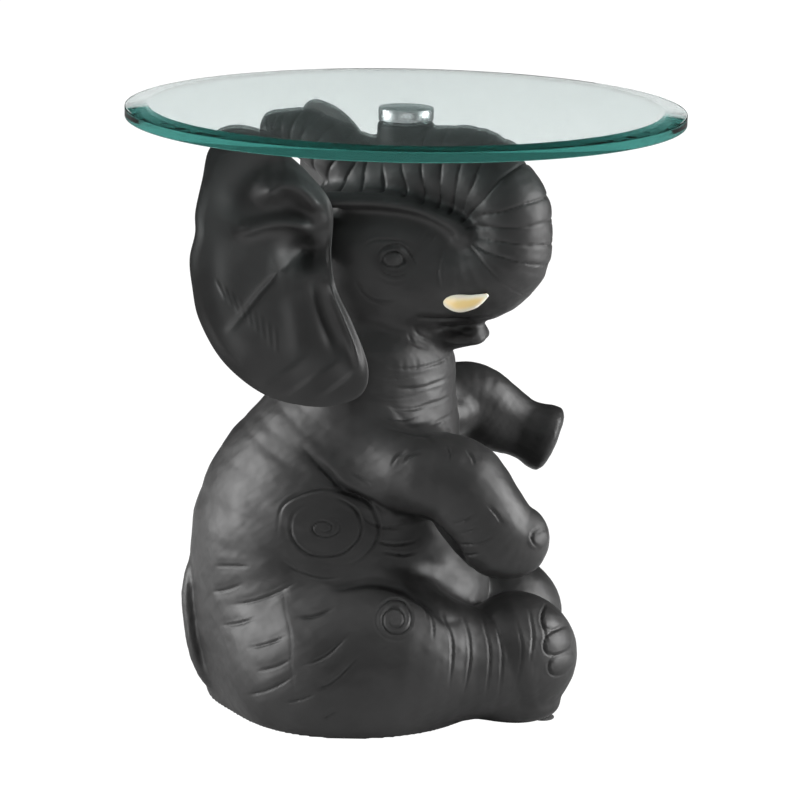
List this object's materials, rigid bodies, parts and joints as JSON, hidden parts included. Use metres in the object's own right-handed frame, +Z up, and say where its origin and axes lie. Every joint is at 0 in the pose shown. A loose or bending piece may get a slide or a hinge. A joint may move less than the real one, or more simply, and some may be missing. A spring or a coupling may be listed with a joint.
{
  "type": "animal sculpture side table",
  "caption": "Side table: a seated baby elephant cast in black resin carries a round bevelled glass top, screwed to a post on its raised trunk.",
  "frame": {"origin": "on the floor, at the centre of the bounding box, which is the axis of the round glass top", "axes": "+Z up; +X is the way the elephant sits and its feet point; -Y is its right side; its head is turned a little towards -Y"},
  "size_m": [0.457, 0.457, 0.5],
  "materials": {
    "cast_resin": "satin",
    "tusk_ivory": "satin",
    "insert_brass": "satin",
    "stud_steel": "satin",
    "washer_rubber": "matte",
    "turned_metal": "polished",
    "clear_glass": "polished",
    "base_board": "matte",
    "pad_felt": "matte"
  },
  "bodies": {
    "sculpture": {"front_shell": "cast_resin", "rear_shell": "cast_resin", "ear_right": "cast_resin", "ear_left": "cast_resin", "tusk_right": "tusk_ivory", "tusk_left": "tusk_ivory", "threaded_insert": "insert_brass", "base_plate": "base_board", "pad_1": "pad_felt", "pad_2": "pad_felt", "pad_3": "pad_felt", "pad_4": "pad_felt", "pad_5": "pad_felt"},
    "washer": {"soft_washer": "washer_rubber"},
    "top": {"stud": "stud_steel", "mount_disc": "turned_metal", "glass_top": "clear_glass"}
  },
  "joints": [
    {"name": "top_rise", "type": "slide", "parent": "sculpture", "child": "washer", "axis": [0, 0, 1], "range_m": [0, 0.015]},
    {"name": "top_turn", "type": "hinge", "parent": "washer", "child": "top", "pos_m": [0, 0, 0.479], "axis": [0, 0, 1], "range_deg": [0, 3600]}
  ],
  "couplings": [
    {"joint": "top_rise", "follows": "top_turn", "m_per_rad": 0.00023873}
  ]
}
